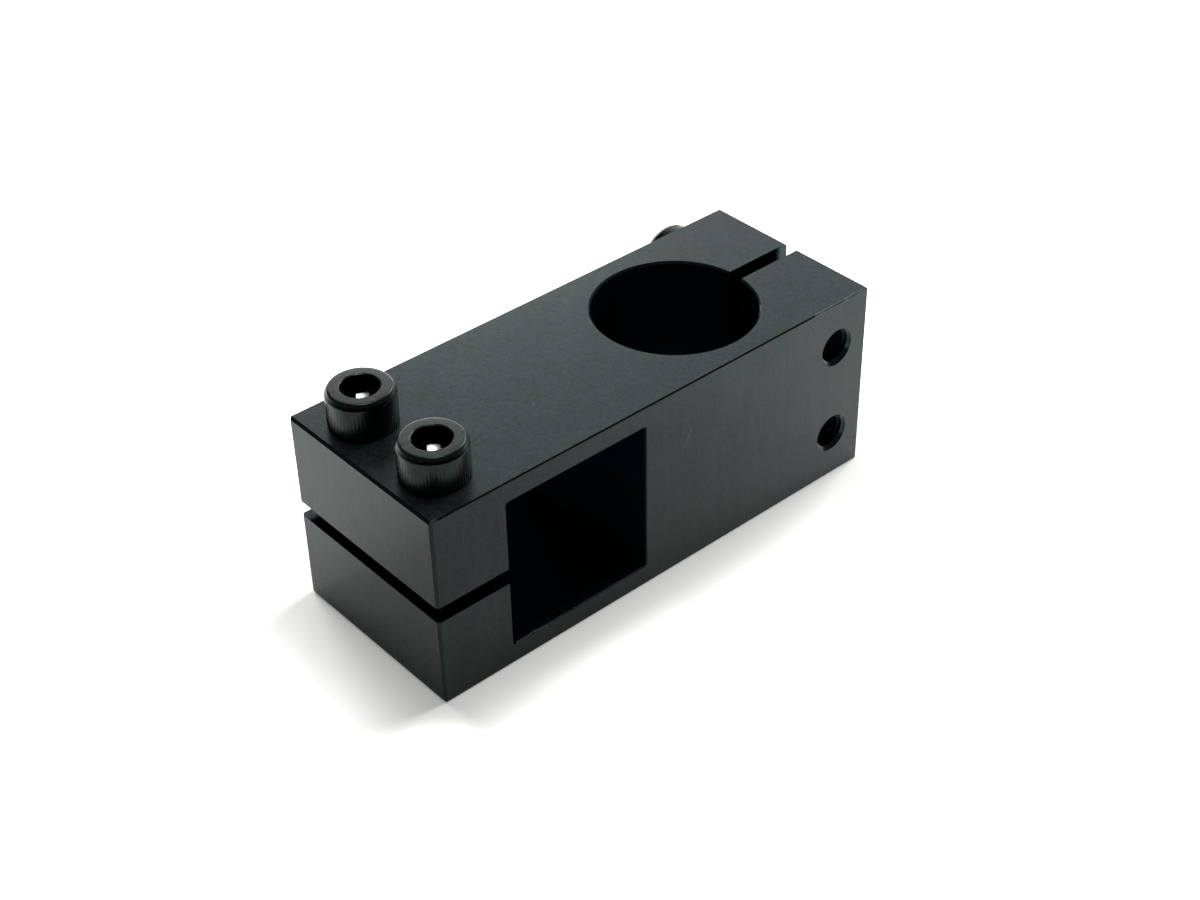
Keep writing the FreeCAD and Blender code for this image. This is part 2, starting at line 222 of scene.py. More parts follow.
def hexagon_radius(angle):
    """Distance from the axis to the wall of a hexagon socket with a corner at angle 0."""
    sixth = math.radians(60)
    return SOCKET_FLATS / 2 / math.cos(angle % sixth - sixth / 2)


def draw_head(surface, screw):
    """Socket, flat top, rim, bevel, knurl and foot, from the socket's floor out. Returns the foot."""
    count = KNURL_GROOVES * len(GROOVE_SHAPE)
    steps = [math.tau * k / count for k in range(count)]
    walls = [hexagon_radius(step) for step in steps]
    floor = screw.top - SOCKET_DEPTH
    mouth = SOCKET_FLATS / 2 + MOUTH_BREAK
    mouth_slope = MOUTH_DEPTH / MOUTH_BREAK

    def ring(radii, heights):
        return surface.ring([at(screw.turn + a, r, z) for a, r, z in zip(steps, radii, heights)])

    def level(radius, height):
        return ring([radius] * count, [height] * count)

    cone = level(SOCKET_FLATS / 2 * CONE_SHARE, floor)
    surface.fan((0, 0, floor - SOCKET_CONE), cone)
    rows = [cone, ring(walls, [floor] * count)]
    rows.append(ring(walls, [screw.top - mouth_slope * (mouth - wall) for wall in walls]))
    rows.append(level(mouth, screw.top))

    lean = math.atan2(BEVEL_HEIGHT, BEVEL_INSET)
    side_top = screw.top - BEVEL_HEIGHT
    rim_start = screw.radius - BEVEL_INSET - RIM_RADIUS * math.tan(lean / 2)
    for step in range(RIM_STEPS + 1):
        bend = lean * step / RIM_STEPS
        rows.append(level(
            rim_start + RIM_RADIUS * math.sin(bend),
            screw.top - RIM_RADIUS * (1 - math.cos(bend))))
    shoulder_end = side_top - SHOULDER_RADIUS * math.tan((math.pi / 2 - lean) / 2)
    for step in range(SHOULDER_STEPS + 1):
        bend = lean + (math.pi / 2 - lean) * step / SHOULDER_STEPS
        rows.append(level(
            screw.radius - SHOULDER_RADIUS * (1 - math.sin(bend)),
            shoulder_end + SHOULDER_RADIUS * math.cos(bend)))

    for height_share, depth_share in KNURL_RUN:
        depth = KNURL_DEPTH * depth_share
        radii = [screw.radius - depth * GROOVE_SHAPE[k % len(GROOVE_SHAPE)] for k in range(count)]
        height = FOOT_BREAK + (side_top - FOOT_BREAK) * height_share
        rows.append(ring(radii, [height] * count))
    rows.append(level(screw.radius - KNURL_DEPTH - FOOT_BREAK, 0))
    for inner, outer in zip(rows, rows[1:]):
        surface.skin(inner, outer)
    return rows[-1]


def draw_shank(surface, screw):
    """Threaded shank with a cut tip. Returns the ring where it leaves the neck."""
    top = -NECK_RADIUS
    tip_radius = THREAD_RADIUS - TIP_BREAK
    steps = [math.tau * k / THREAD_POINTS for k in range(THREAD_POINTS)]

    def point(height, depth, k):
        height = min(top, max(screw.tip, height))
        full = share_between(-height, *THREAD_FADE)
        radius = THREAD_RADIUS - THREAD_DEPTH * depth * full
        radius = min(radius, tip_radius + height - screw.tip)
        return at(steps[k % THREAD_POINTS], radius, height)

    lines = []
    for turn in range(math.floor(screw.tip / THREAD_PITCH) - 1, 1):
        for share, depth in THREAD_SHAPE:
            line = []
            for k in range(THREAD_POINTS + 1):
                height = (turn + share + k / THREAD_POINTS) * THREAD_PITCH
                line.append(point(height, depth, k))
            lines.append(surface.ring(line))
    for one, two in zip(lines, lines[1:]):
        surface.strip(one, two)
    tip = surface.ring([at(step, tip_radius, screw.tip) for step in steps])
    surface.fan((0, 0, screw.tip), tip)
    return surface.ring([at(step, THREAD_RADIUS, top) for step in steps])


def draw_neck(surface, foot, shank):
    """Underside of the head and the round neck between it and the shank."""
    steps = [math.tau * k / THREAD_POINTS for k in range(THREAD_POINTS)]
    inner = shank
    for step in range(NECK_STEPS):
        bend = math.pi / 2 * (step + 1) / NECK_STEPS
        radius = THREAD_RADIUS + NECK_RADIUS * (1 - math.cos(bend))
        height = -NECK_RADIUS * (1 - math.sin(bend))
        outer = surface.ring([at(angle, radius, height) for angle in steps])
        surface.skin(inner, outer)
        inner = outer
    surface.skin(inner, foot)


def make_screw(body, material):
    """One cap screw, which stands for its plain node."""
    screw = CapScrew(body)
    surface = Surface()
    foot = draw_head(surface, screw)
    shank = draw_shank(surface, screw)
    draw_neck(surface, foot, shank)
    piece = surface.make("cap_" + body, material, screw.place())
    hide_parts(screw.node)
    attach(piece, body)


def make_ridge(body, material):
    """The thread in the empty stretch of a tapped hole, countersunk at the mouth."""
    screw = CapScrew(body)
    surface = Surface()
    mouth = screw.hole_end + RIDGE_MOUTH_GAP
    start = mouth - RIDGE_FOOT_WIDTH / 2
    turns = (screw.tip - RIDGE_TIP_GAP - start) / THREAD_PITCH
    foot = HOLE_RADIUS + RIDGE_ROOT
    lines = [[], [], [], []]
    count = round(turns * THREAD_POINTS)
    for k in range(1, count):
        turn = turns * k / count
        middle = start + turn * THREAD_PITCH
        run_out = share_between(turns - turn, 0, RIDGE_RUN_OUT)
        crest = foot - (foot - RIDGE_CREST_RADIUS) * run_out
        corners = (
            (foot, -RIDGE_FOOT_WIDTH), (crest, -RIDGE_CREST_WIDTH),
            (crest, RIDGE_CREST_WIDTH), (foot, RIDGE_FOOT_WIDTH))
        for line, (radius, width) in zip(lines, corners):
            height = max(mouth, middle + width / 2)
            countersink = foot - (height - mouth)
            line.append(at(RIDGE_START + math.tau * turn, max(radius, countersink), height))
    rows = [surface.ring(line) for line in lines]
    for one, two in zip(rows, rows[1:] + rows[:1]):
        surface.strip(one, two)
    surface.faces.append(tuple(row[-1] for row in rows))
    piece = surface.make("tapped_thread_" + body, material, screw.place())
    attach(piece, BLOCK_BODY)


# Noise: the detail of clouds, the roughness of grain, and the values between which most of it lies
CLOUD_DETAIL = 4.0
GRAIN_ROUGHNESS = 0.7
NOISE_SPAN = (0.3, 0.7)
# How high the bumps of a finish stand
BUMP_HEIGHT = 0.04


class Nodes:
    """A node tree under construction, with short ways to add to it."""

    def __init__(self, tree):
        self.tree = tree

    def put(self, socket, value):
        """Links a socket to another, or gives it a number, a vector or a colour."""
        if isinstance(value, bpy.types.NodeSocket):
            self.tree.links.new(value, socket)
        elif socket.type == "RGBA":
            socket.default_value = (*value, 1.0)
        else:
            socket.default_value = value

    def add(self, kind, inputs=(), **settings):
        """Adds a node, with its inputs by name or number."""
        node = self.tree.nodes.new("ShaderNode" + kind)
        for key, value in settings.items():
            setattr(node, key, value)
        for key, value in dict(inputs).items():
            self.put(node.inputs[key], value)
        return node

    def math(self, operation, *values):
        """A number worked out from others."""
        return self.add("Math", dict(enumerate(values)), operation=operation).outputs[0]

    def vector(self, operation, *values):
        """A vector worked out from others."""
        return self.add("VectorMath", dict(enumerate(values)), operation=operation).outputs[0]

    def measure(self, operation, *vectors):
        """A number worked out from vectors."""
        node = self.add("VectorMath", dict(enumerate(vectors)), operation=operation)
        return node.outputs["Value"]

    def split(self, vector):
        """The three numbers of a vector."""
        return list(self.add("SeparateXYZ", {0: vector}).outputs)

    def most(self, *values):
        """The largest of several numbers."""
        return functools.reduce(functools.partial(self.math, "MAXIMUM"), values)

    def least(self, *values):
        """The smallest of several numbers."""
        return functools.reduce(functools.partial(self.math, "MINIMUM"), values)

    def times(self, *values):
        """Several numbers multiplied, so masks give 1 only where each of them is 1."""
        return functools.reduce(functools.partial(self.math, "MULTIPLY"), values)

    def opposite(self, value):
        """0 where a number is 1, and 1 where it is 0."""
        return self.math("SUBTRACT", 1.0, value)

    def below(self, value, limit):
        """1 where a value is below a limit, and 0 elsewhere."""
        return self.math("LESS_THAN", value, limit)

    def ease(self, value, low, high, start=0.0, end=1.0):
        """A number eased from start to end as value goes from low to high."""
        inputs = {"Value": value, "From Min": low, "From Max": high, "To Min": start, "To Max": end}
        return self.add("MapRange", inputs, interpolation_type="SMOOTHSTEP").outputs["Result"]

    def fade(self, value, low, high, start=1.0):
        """A number eased from start to 0 as value goes from low to high."""
        return self.ease(value, low, high, start, 0.0)

    def between(self, share, one, two):
        """A number between two. The node's sockets share their names, so they go by number."""
        return self.add("Mix", {0: share, 2: one, 3: two}, data_type="FLOAT").outputs[0]

    def mix(self, share, one, two):
        """A colour between two."""
        return self.add("Mix", {0: share, 6: one, 7: two}, data_type="RGBA").outputs[2]

    def noise(self, place, scale, detail=3.0, rough=0.55):
        """Noise in space, from 0 to 1, with its scale per millimetre."""
        inputs = {"Vector": place, "Scale": scale, "Detail": detail, "Roughness": rough}
        return self.add("TexNoise", inputs).outputs["Fac"]

    def cloud(self, place, scale):
        """Soft noise."""
        return self.noise(place, scale, detail=CLOUD_DETAIL)

    def grain(self, place, scale):
        """Harsh noise."""
        return self.noise(place, scale, rough=GRAIN_ROUGHNESS)

    def vary(self, noise, low, high):
        """A number that noise moves between two."""
        return self.ease(noise, *NOISE_SPAN, low, high)

    def wobble(self, place, scale, reach):
        """A place moved about by noise, by up to about half of reach."""
        shift = self.add("TexNoise", {"Vector": place, "Scale": scale}).outputs["Color"]
        shift = self.vector("SUBTRACT", shift, (0.5, 0.5, 0.5))
        return self.vector("MULTIPLY_ADD", shift, (reach, reach, reach), place)

    def bump(self, height, strength):
        """A normal that follows small bumps."""
        inputs = {"Height": height, "Strength": strength, "Distance": BUMP_HEIGHT * MM}
        return self.add("Bump", inputs).outputs["Normal"]

    def place(self):
        """Where a point lies in its object, in millimetres."""
        coordinates = self.add("TexCoord").outputs["Object"]
        return self.vector("MULTIPLY", coordinates, (1 / MM, 1 / MM, 1 / MM))

    def apart(self, place, point):
        """How far a place lies from a point along each axis."""
        return self.vector("ABSOLUTE", self.vector("SUBTRACT", place, point))

    def from_axis(self, place):
        """How far a place lies from the Z axis."""
        return self.measure("LENGTH", self.vector("MULTIPLY", place, (1, 1, 0)))

    def from_line(self, place, start, end):
        """How far a place lies from the straight line between two points."""
        run = Vector(end) - Vector(start)
        from_start = self.vector("SUBTRACT", place, start)
        along = self.measure("DOT_PRODUCT", from_start, run / run.length_squared)
        share = self.add("Clamp", {"Value": along}).outputs[0]
        return self.measure("DISTANCE", place, self.vector("MULTIPLY_ADD", share, run, start))

    def mirrored(self):
        """1 for rays off glossy or through clear surfaces, and 0 for the rest."""
        rays = self.add("LightPath").outputs
        return self.most(rays["Is Glossy Ray"], rays["Is Transmission Ray"])

    def direct(self):
        """1 for rays from the camera, and 0 for the rest."""
        return self.add("LightPath").outputs["Is Camera Ray"]


class Finish(Nodes):
    """A material under construction."""

    def __init__(self, name):
        self.material = bpy.data.materials.new(name)
        self.material.use_nodes = True
        super().__init__(self.material.node_tree)
        self.shader = self.tree.nodes["Principled BSDF"]

    def set(self, **sockets):
        """Sets the shader's sockets, with _ for each space in their names."""
        for name, value in sockets.items():
            self.put(self.shader.inputs[name.replace("_", " ")], value)


def block_box():
    """The block's middle and half its size."""
    low, high = [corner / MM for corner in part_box(BLOCK_NODE)]
    return (low + high) / 2, (high - low) / 2


# Insides of the block, blacked out with painted shade, and the roughness and lack of sheen that the screws'
# sockets share with them
SHADED_INSIDE_BLACK = (0.008, 0.019, 0.0265)
DULL_ROUGHNESS = 0.6
NO_SHEEN = (0.0, 0.0, 0.0)

# Black anodised faces, where their mottle is dark and where it is light
FACE_DARK = (0.0042, 0.0055, 0.0062)
FACE_LIGHT = (0.011, 0.015, 0.0165)
SHEEN_DARK = (0.53, 0.81, 0.83)
SHEEN_LIGHT = (0.69, 0.96, 0.99)
FACE_ROUGHNESS = (0.27, 0.33)
FACE_INDEX = 1.45
FACE_BUMP = 0.35
# Their mottle: clouds, grain, and streaks drawn out along Z
CLOUD_SCALE = 0.16
GRAIN_SCALE = 2.2
STREAK_SCALE = 1.1
STREAK_STRETCH = (1.0, 1.0, 0.08)
# The share of streaks beside the grain, and of both beside the clouds
STREAK_SHARE = 0.3
FINE_SHARE = 0.75
# The noise at which the mottle is darkest and lightest
MOTTLE_SPAN = (0.36, 0.64)

# Broken edges, smoother than the faces and darkened with painted shade
EDGE_BLACK = (0.002, 0.0035, 0.0045)
SHADED_EDGE_SHEEN = (0.42, 0.58, 0.58)
EDGE_ROUGHNESS = 0.2
# The largest part of the normal where an edge ends and a face begins
EDGE_NORMAL = (0.9, 0.97)
# Where along X the edges begin and end to lose that painted shade, apart from patches
EDGE_SHADE_FADE = (9.0, 17.0)
PATCH_SCALE = 0.6
PATCH_SPAN = (0.42, 0.58)

# The block's two openings: the square one's middle and half its width, and the round one's radius
PASSAGE_MIDDLE = (-33.0, 0.0, 16.0)
PASSAGE_HALF = 12.55
BORE_RADIUS = 12.55
# How far outside their walls the painted shade begins and ends to fade
OPENING_LIP = (0.04, 0.12)
# Half of a slit's width, with a little to spare, and how far each slit runs in X
SLIT_HALF = 1.28
LEVEL_SLIT_END = -45.5
UPRIGHT_SLIT_START = 12.4
# How deep in the holes, and how far in from the slits' open ends, satin begins and ends to fade into painted shade
SATIN_DEPTH = (0.5, 1.2)
SLIT_SATIN = (1.0, 2.6)

# Bare marks on the block, and a painted highlight along the passage's lower rim: where each runs from and to, its
# half width and how bare it is
BARE_METAL_AND_HIGHLIGHT = (0.40, 0.42, 0.42)
BARE_MARKS_AND_HIGHLIGHT = (
    ((-11.7, -16.0, 24.1), (-12.1, -16.0, 23.0), 0.13, 0.22),
    ((-12.1, -16.0, 23.0), (-12.8, -16.0, 21.7), 0.12, 0.18),
    ((-12.8, -16.0, 21.7), (-13.5, -16.0, 21.0), 0.10, 0.10),
    ((-34.4, -1.3, 32.0), (-32.0, -5.3, 32.0), 0.10, 0.05),
    ((-31.5, -4.9, 32.0), (-31.3, -5.0, 32.0), 0.20, 0.12),
    ((-36.2, 10.0, 32.0), (-36.0, 9.9, 32.0), 0.18, 0.10),
    # Painted highlight along the passage's lower rim, drawn as bare metal with its nicks
    ((-45.0, -15.9, 3.36), (-39.6, -15.9, 3.36), 0.14, 0.34),
    ((-39.6, -15.9, 3.36), (-20.6, -15.9, 3.36), 0.12, 0.14),
    ((14.4, -15.9, 31.9), (15.2, -15.9, 31.9), 0.3, 0.4),
    ((13.6, -15.9, 31.9), (25.0, -15.9, 31.9), 0.36, 0.2),
    ((20.0, -15.9, 31.9), (20.3, -15.9, 31.9), 0.3, 0.5),
    ((22.6, -15.9, 31.9), (24.5, -15.9, 31.9), 0.3, 0.3),
    ((-57.7, -15.8, 31.9), (-57.0, -15.8, 31.9), 0.35, 0.08),
)
# The share of the half width that is barest, and the scale and reach of the wobble in a mark's line
MARK_CORE = 0.4
MARK_WOBBLE = (1.5, 0.3)


def painted_shade_insides(finish, place):
    """1 in the block's openings, holes and slits, where painted shade blacks them out, and 0 on its satin faces.
    """
    middle, half = block_box()
    from_middle = finish.apart(place, middle)
    depths = finish.split(finish.vector("SUBTRACT", half, from_middle))
    x, y, _ = finish.split(place)
    _, from_upright, from_level = finish.split(from_middle)
    level = finish.times(finish.below(from_level, SLIT_HALF), finish.below(x, LEVEL_SLIT_END))
    upright = finish.times(finish.below(from_upright, SLIT_HALF), finish.below(UPRIGHT_SLIT_START, x))
    from_back = finish.math("SUBTRACT", middle.y + half.y, y)
    in_level = finish.times(level, finish.ease(from_back, *SLIT_SATIN))
    in_upright = finish.times(upright, finish.ease(depths[0], *SLIT_SATIN))
    deep = finish.ease(finish.least(*depths), *SATIN_DEPTH)
    in_hole = finish.times(deep, finish.opposite(finish.most(level, upright)))
    across, _, up = finish.split(finish.apart(place, PASSAGE_MIDDLE))
    in_passage = finish.fade(finish.most(across, up), *[PASSAGE_HALF + lip for lip in OPENING_LIP])
    in_bore = finish.fade(finish.from_axis(place), *[BORE_RADIUS + lip for lip in OPENING_LIP])
    return finish.most(in_hole, in_level, in_upright, in_bore, in_passage)


def black_edges(finish, place):
    """1 on the block's broken edges, where they get painted shade, less towards +X and in patches, and 0 on its
    faces.
    """
    normal = finish.vector("ABSOLUTE", finish.add("TexCoord").outputs["Normal"])
    edge = finish.fade(finish.most(*finish.split(normal)), *EDGE_NORMAL)
    patches = finish.ease(finish.noise(place, PATCH_SCALE), *PATCH_SPAN)
    edge_shade_along_x = finish.fade(finish.split(place)[0], *EDGE_SHADE_FADE)
    return finish.times(edge, finish.most(patches, edge_shade_along_x))


def bare_marks_and_highlight(finish, place):
    """How bare the block's metal is at its marks, and how strong the painted highlight along the passage's rim,
    from 0 to 1.
    """
    shaken = finish.wobble(place, *MARK_WOBBLE)
    marks = []
    for start, end, width, strength in BARE_MARKS_AND_HIGHLIGHT:
        away = finish.from_line(shaken, start, end)
        marks.append(finish.fade(away, MARK_CORE * width, width, strength))
    return finish.most(*marks)


def block_finish():
    """Black anodised aluminium: satin faces, openings and edges darkened with painted shade, a few bare marks, and
    a painted highlight along the passage's rim.
    """
    finish = Finish("black_anodised")
    place = finish.place()
    clouds = finish.cloud(place, CLOUD_SCALE)
    grain = finish.grain(place, GRAIN_SCALE)
    streaks = finish.noise(finish.vector("MULTIPLY", place, STREAK_STRETCH), STREAK_SCALE)
    fine = finish.between(STREAK_SHARE, grain, streaks)
    mottle = finish.ease(finish.between(FINE_SHARE, clouds, fine), *MOTTLE_SPAN)
    # The broken edges get painted shade: a darker base and sheen
    edge = black_edges(finish, place)
    black = finish.mix(edge, finish.mix(mottle, FACE_DARK, FACE_LIGHT), EDGE_BLACK)
    sheen = finish.mix(edge, finish.mix(mottle, SHEEN_DARK, SHEEN_LIGHT), SHADED_EDGE_SHEEN)
    roughness = finish.between(edge, finish.vary(grain, *FACE_ROUGHNESS), EDGE_ROUGHNESS)
    # Painted shade blacks out the openings, holes and slits
    painted_shade = painted_shade_insides(finish, place)
    # Bare marks, and a painted highlight along the passage's lower rim
    bare = bare_marks_and_highlight(finish, place)
    finish.set(
        Base_Color=finish.mix(bare, finish.mix(painted_shade, black, SHADED_INSIDE_BLACK), BARE_METAL_AND_HIGHLIGHT),
        Metallic=finish.most(painted_shade, bare),
        Roughness=finish.between(painted_shade, roughness, DULL_ROUGHNESS),
        Normal=finish.bump(grain, FACE_BUMP),
        Specular_Tint=finish.mix(painted_shade, sheen, NO_SHEEN),
        IOR=FACE_INDEX)
    return finish.material


# Tapped thread, with how deep in its hole the satin begins and ends to fade into painted shade
THREAD_GRAIN_SCALE = 2.6
THREAD_ROUGHNESS = (0.17, 0.25)
THREAD_SATIN = (0.7, 1.5)


def thread_finish(mouth):
    """The block's finish where a tap cut it, satin by the mouth and blacked out with painted shade further in."""
    finish = Finish("anodised_thread")
    place = finish.place()
    depth = finish.math("SUBTRACT", finish.split(place)[2], mouth)
    # Painted shade blacks the hole out further in
    painted_shade = finish.ease(depth, *THREAD_SATIN)
    grain = finish.grain(place, THREAD_GRAIN_SCALE)
    black = finish.mix(grain, EDGE_BLACK, FACE_DARK)
    roughness = finish.vary(grain, *THREAD_ROUGHNESS)
    finish.set(
        Base_Color=finish.mix(painted_shade, black, SHADED_INSIDE_BLACK),
        Metallic=painted_shade,
        Roughness=finish.between(painted_shade, roughness, DULL_ROUGHNESS),
        Specular_Tint=finish.mix(painted_shade, SHEEN_LIGHT, NO_SHEEN),
        IOR=FACE_INDEX)
    return finish.material


# Black oxide on the heads' flat tops, where it is oily and where it is dry; the dry patches are lighter than the
# sides, partly random tone and partly painted light
OILY_BLACK = (0.0, 0.001, 0.0005)
DRY_BLACK_WITH_PAINTED_LIGHT = (0.022, 0.032, 0.027)
OILY_SHEEN = (0.92, 1.0, 0.95)
DRY_SHEEN = (0.35, 0.45, 0.4)
TOP_ROUGHNESS = (0.26, 0.36)
TOP_BUMP = 0.4
# Clouds and grain of that oil, the grain's share, and the noise at which the top is oily and dry
OIL_CLOUD_SCALE = 1.2
OIL_GRAIN_SCALE = 4.0
OIL_GRAIN_SHARE = 0.5
OIL_SPAN = (0.42, 0.58)
# How far down from the top that finish reaches
TOP_SKIN = 0.05

# Black oxide elsewhere
SIDE_BLACK = (0.0, 0.001, 0.001)
SIDE_SHEEN = (0.66, 0.82, 0.79)
SIDE_ROUGHNESS = 0.26
OXIDE_INDEX = 1.5
# Bevels get painted shade and shine less: the heights where that begins and is full, and begins to go and is gone
SHADED_BEVEL_SHEEN = (0.06, 0.1, 0.1)
BEVEL_FOOT = (5.0, 5.12)
BEVEL_CREST = (5.35, 5.6)

# Sockets, blacked out with painted shade: the radii where their black begins and ends to fade, and how ragged that
# line is
SHADED_SOCKET_BLACK = (0.0001, 0.0003, 0.0004)
SOCKET_REACH = (2.76, 2.84)
RAGGED_SCALE = 2.4
RAGGED_REACH = 0.08
# How far below the top their black begins
SOCKET_TOP = 0.01
# Heights from a socket's floor, between which the floor's finish turns into the wall's
FLOOR_BLEND = (-0.02, 0.1)
# Heights between which the shank's finish turns into the socket's
SHANK_BLEND = (0.5, 0.6)
# Bare steel patch on a socket's floor, placed where it gives a painted glint: its middle, the radii
# where it begins and ends to fade, and the scale and reach of the wobble in its outline
GLINT_STEEL = (0.75, 0.77, 0.76)
STEEL_ROUGHNESS = 0.3
GLINT_PATCH = (1.3, 1.5, 2.7)
GLINT_PATCH_RADII = (0.8, 1.0)
GLINT_PATCH_WOBBLE = (1.2, 1.6)


def socket_shade_parts(finish, place, top):
    """1 on a socket's walls, and 1 on the cone of its floor, where painted shade blacks them out, each with 0
    elsewhere.
    """
    height = finish.split(place)[2]
    ragged = finish.vary(finish.noise(place, RAGGED_SCALE), -RAGGED_REACH, RAGGED_REACH)
    within = finish.fade(finish.math("ADD", finish.from_axis(place), ragged), *SOCKET_REACH)
    above_floor = finish.ease(height, *[top - SOCKET_DEPTH + blend for blend in FLOOR_BLEND])
    walls = finish.times(within, above_floor, finish.below(height, top - SOCKET_TOP))
    cone = finish.times(within, finish.opposite(above_floor), finish.ease(height, *SHANK_BLEND))
    return walls, cone


def screw_finish(top):
    """Black oxide on steel, oily and lighter on top of the head, with painted shade on the bevel and in the
    socket, and a bare steel patch on the socket's floor for a painted glint.
    """
    finish = Finish("black_oxide")
    place = finish.place()
    height = finish.split(place)[2]
    clouds = finish.cloud(place, OIL_CLOUD_SCALE)
    grain = finish.grain(place, OIL_GRAIN_SCALE)
    dry = finish.ease(finish.between(OIL_GRAIN_SHARE, clouds, grain), *OIL_SPAN)
    # Painted shade on the bevel: a weaker sheen
    bevel = finish.times(finish.ease(height, *BEVEL_FOOT), finish.fade(height, *BEVEL_CREST))
    side_sheen = finish.mix(bevel, SIDE_SHEEN, SHADED_BEVEL_SHEEN)
    on_top = finish.opposite(finish.below(height, top - TOP_SKIN))
    # The tops get a lighter black than the sides, partly painted light
    black = finish.mix(on_top, SIDE_BLACK, finish.mix(dry, OILY_BLACK, DRY_BLACK_WITH_PAINTED_LIGHT))
    sheen = finish.mix(on_top, side_sheen, finish.mix(dry, OILY_SHEEN, DRY_SHEEN))
    roughness = finish.between(on_top, SIDE_ROUGHNESS, finish.vary(clouds, *TOP_ROUGHNESS))

    walls, cone = socket_shade_parts(finish, place, top)
    # Painted shade: the socket's walls and floor are near-black metal without sheen
    painted_shade = finish.most(walls, cone)
    # Painted glint: a bright bare steel patch on the far side of the socket's floor
    from_patch = finish.measure("DISTANCE", finish.wobble(place, *GLINT_PATCH_WOBBLE), GLINT_PATCH)
    bare = finish.times(cone, finish.fade(from_patch, *GLINT_PATCH_RADII))
    roughness = finish.between(painted_shade, roughness, DULL_ROUGHNESS)
    finish.set(
        Base_Color=finish.mix(bare, finish.mix(painted_shade, black, SHADED_SOCKET_BLACK), GLINT_STEEL),
        Metallic=painted_shade,
        Roughness=finish.between(bare, roughness, STEEL_ROUGHNESS),
        Normal=finish.bump(finish.times(grain, on_top), TOP_BUMP),
        Specular_Tint=finish.mix(painted_shade, sheen, NO_SHEEN),
        IOR=OXIDE_INDEX)
    return finish.material


# Floor, and the white that it and the surroundings show
WHITE = (1.0, 1.0, 1.0)
FLOOR_HALF_SIDE = 1500.0
FLOOR_COLOUR = (0.86, 0.865, 0.81)
FLOOR_ROUGHNESS = 0.9
# How white the floor is lifted, by the block and beyond its shadow; the smaller lift by the block is painted
# shadow on top of the lamps' shadow
FLOOR_LIFT = (0.24, 1.0)
# How far from the block the painted shadow begins and ends to fade
SHADOW_REACH = (2.5, 16.0)
# The painted shadow reaches further off the block's ends than off its sides
SHADOW_STRETCH = (0.75, 1.0, 1.0)
# How far from the block the white floor begins and ends to show in glossy surfaces, which show it darker nearer
# in, as painted shadow
MIRROR_REACH = (60.0, 200.0)
# Painted light: how much the floor glows towards the light in glossy surfaces, and the X and the Y
# where that begins and ends
PAINTED_FLOOR_GLOW = 0.42
GLOW_RIGHT = (-40.0, 40.0)
GLOW_BACK = (4.0, 48.0)


def floor_finish():
    """Plain white, with painted shadow added to the part's own shadow close to it, full white beyond, and a
    painted glow towards the light in glossy surfaces.
    """
    finish = Finish("white_floor")
    place = finish.place()
    middle, half = block_box()
    outside = finish.vector("SUBTRACT", finish.apart(place, middle), half)
    outside = finish.vector("MAXIMUM", outside, (0, 0, 0))
    beyond_x, beyond_y, _ = finish.split(finish.vector("MULTIPLY", outside, SHADOW_STRETCH))
    corner = finish.math("SQRT", finish.times(beyond_x, beyond_y))
    away = finish.math("ADD", finish.math("ADD", beyond_x, beyond_y), corner)
    # Painted shadow: the floor is lifted less close to the block
    lift_with_painted_shadow = finish.ease(away, *SHADOW_REACH, *FLOOR_LIFT)
    across, along, _ = finish.split(place)
    # Painted light: a glow towards the lamps, seen only in glossy surfaces
    glow_right = finish.ease(across, *GLOW_RIGHT, 0.0, PAINTED_FLOOR_GLOW)
    glow_back = finish.ease(along, *GLOW_BACK, 0.0, PAINTED_FLOOR_GLOW)
    mirrored_lift_and_glow = finish.most(glow_right, glow_back, finish.ease(away, *MIRROR_REACH))
    finish.set(
        Base_Color=FLOOR_COLOUR,
        Roughness=FLOOR_ROUGHNESS,
        Specular_IOR_Level=0.0,
        Emission_Color=WHITE,
        Emission_Strength=finish.math(
            "ADD",
            finish.times(finish.direct(), lift_with_painted_shadow),
            finish.times(finish.mirrored(), mirrored_lift_and_glow)))
    return finish.material


# Studio
# In glossy surfaces the surroundings are white up to one height above the floor, in degrees,
# and dim above the other
WHITE_UP_TO = 0
DIM_ABOVE = 6
DIM_SKY = 0.1
# Each soft box: its bearing from +X towards +Y and its height in degrees, its distance and side,
# and its power in watts
SOFT_BOXES = {
    "right": (0, 40, 600, 300, 3.9),
    "back": (90, 40, 600, 300, 2.6),
    "right_sheen": (10, 36, 600, 300, 1.3),
    "right_low": (44, 15, 600, 300, 0.3),
    "back_low": (64, 15, 600, 300, 0.8),
    "overhead": (0, 89, 600, 100, 0.35),
    "overhead_sheen": (0, 89, 600, 100, 0.9),
    "mirrored": (52, 35, 600, 300, 0.17),
}
AIM = (-18.0, -3.0, 16.0)
# Boxes that do not show in glossy surfaces, and those that show only there
FLOOR_BOXES = ("right", "back")
SHEEN_BOXES = ("right_sheen", "overhead_sheen")

# Camera, from the photograph's perspective
EYE = (-171.617, -181.69, 194.025)
LOOK_AT = (-17.709, -2.933, 16.0)
ROLL = math.radians(-1.219)
SENSOR_WIDTH = 36.0
LENS = 60.04
CLIP_START = 10.0


def aimed(place, target, roll=0.0):
    """A matrix at place that looks along its own -Z at target."""
    place = Vector(place) * MM
    turn = (Vector(target) * MM - place).to_track_quat("-Z", "Y").to_matrix().to_4x4()
    return Matrix.Translation(place) @ turn @ Matrix.Rotation(roll, 4, "Z")


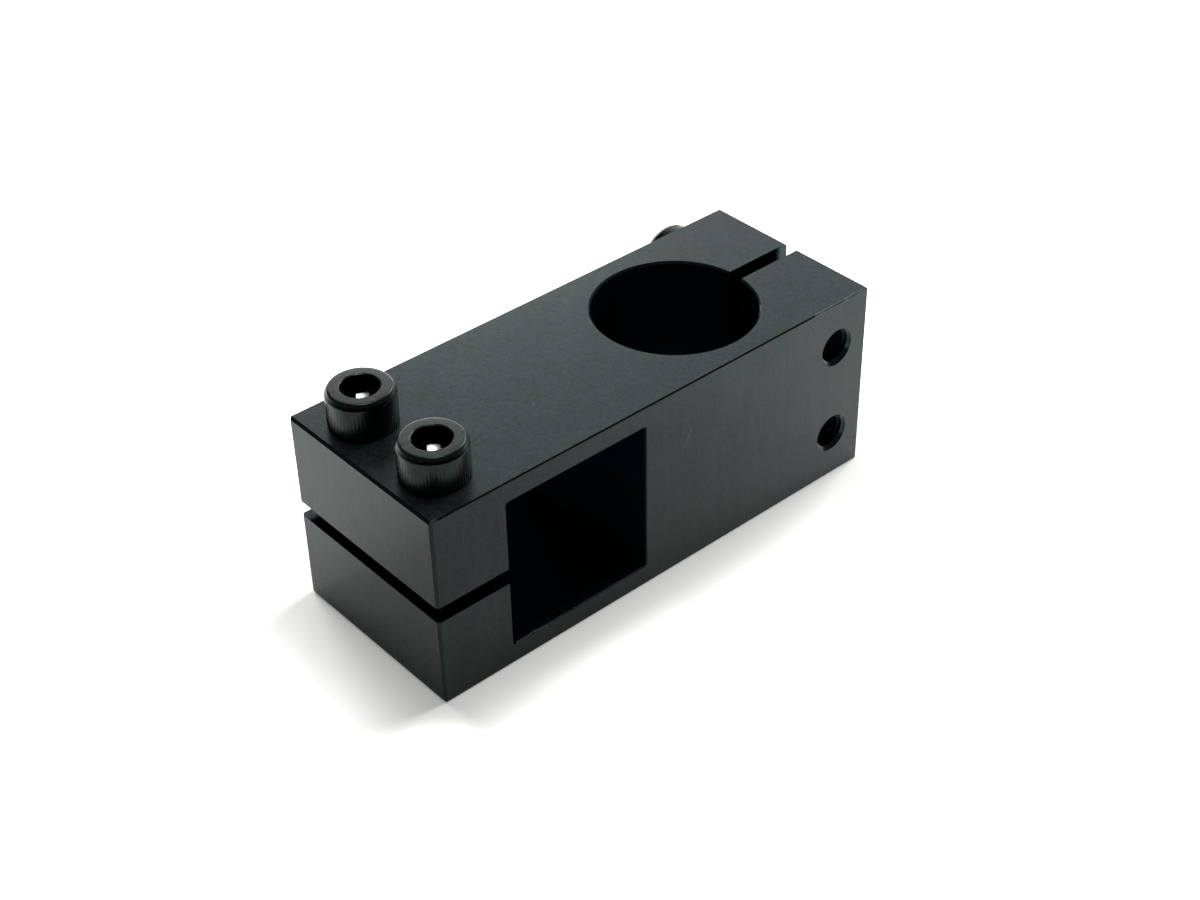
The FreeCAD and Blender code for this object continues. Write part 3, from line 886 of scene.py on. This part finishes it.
def make_floor():
    """A large plain floor that the clamp stands on."""
    half = FLOOR_HALF_SIDE * MM
    mesh = bpy.data.meshes.new("floor")
    corners = [(-half, -half, 0), (half, -half, 0), (half, half, 0), (-half, half, 0)]
    mesh.from_pydata(corners, [], [(0, 1, 2, 3)])
    mesh.materials.append(floor_finish())
    floor = bpy.data.objects.new("floor", mesh)
    bpy.context.scene.collection.objects.link(floor)
    floor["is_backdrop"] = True


def make_lights():
    """Soft boxes round the clamp."""
    for name, (bearing, height, distance, side, power) in SOFT_BOXES.items():
        light = bpy.data.lights.new("soft_box_" + name, "AREA")
        light.size = side * MM
        light.energy = power
        way = Vector((distance, 0, 0))
        way.rotate(Euler((0, -math.radians(height), math.radians(bearing))))
        lamp = bpy.data.objects.new(light.name, light)
        lamp.matrix_world = aimed(Vector(AIM) + way, AIM)
        lamp.visible_camera = False
        lamp.visible_glossy = name not in FLOOR_BOXES
        lamp.visible_diffuse = name not in SHEEN_BOXES
        bpy.context.scene.collection.objects.link(lamp)


def make_surroundings():
    """White to the camera, and white low down and dim above in glossy surfaces. They give no light."""
    world = bpy.data.worlds.new("studio")
    world.use_nodes = True
    nodes = Nodes(world.node_tree)
    height = nodes.split(nodes.add("TexCoord").outputs["Generated"])[2]
    low, high = [math.sin(math.radians(angle)) for angle in (WHITE_UP_TO, DIM_ABOVE)]
    mirrored_sky = nodes.times(nodes.mirrored(), nodes.ease(height, low, high, 1.0, DIM_SKY))
    background = nodes.tree.nodes["Background"]
    nodes.put(background.inputs["Color"], WHITE)
    nodes.put(background.inputs["Strength"], nodes.most(nodes.direct(), mirrored_sky))
    bpy.context.scene.world = world


def make_camera():
    """The photograph's view."""
    lens = bpy.data.cameras.new("photo_view")
    lens.sensor_width = SENSOR_WIDTH
    lens.sensor_fit = "HORIZONTAL"
    lens.lens = LENS
    lens.clip_start = CLIP_START * MM
    camera = bpy.data.objects.new("photo_view", lens)
    camera.matrix_world = aimed(EYE, LOOK_AT, ROLL)
    bpy.context.scene.collection.objects.link(camera)
    bpy.context.scene.camera = camera


# The screws are alike, so any one of them gives the heights that the finishes need
any_screw = CapScrew(next(iter(SOCKET_TURNS)))
anodised = block_finish()
tapped = thread_finish(any_screw.hole_end)
oxide = screw_finish(any_screw.top)
for slot in frame["nodes"][BLOCK_NODE].material_slots:
    slot.material = anodised
for body in SOCKET_TURNS:
    make_screw(body, oxide)
    make_ridge(body, tapped)
make_floor()
make_lights()
make_surroundings()
make_camera()
bpy.context.scene.view_settings.view_transform = "Standard"

sizes = {"cad": cad_box, "visual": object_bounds()}
{name: [list(corner) for corner in box] for name, box in sizes.items()}
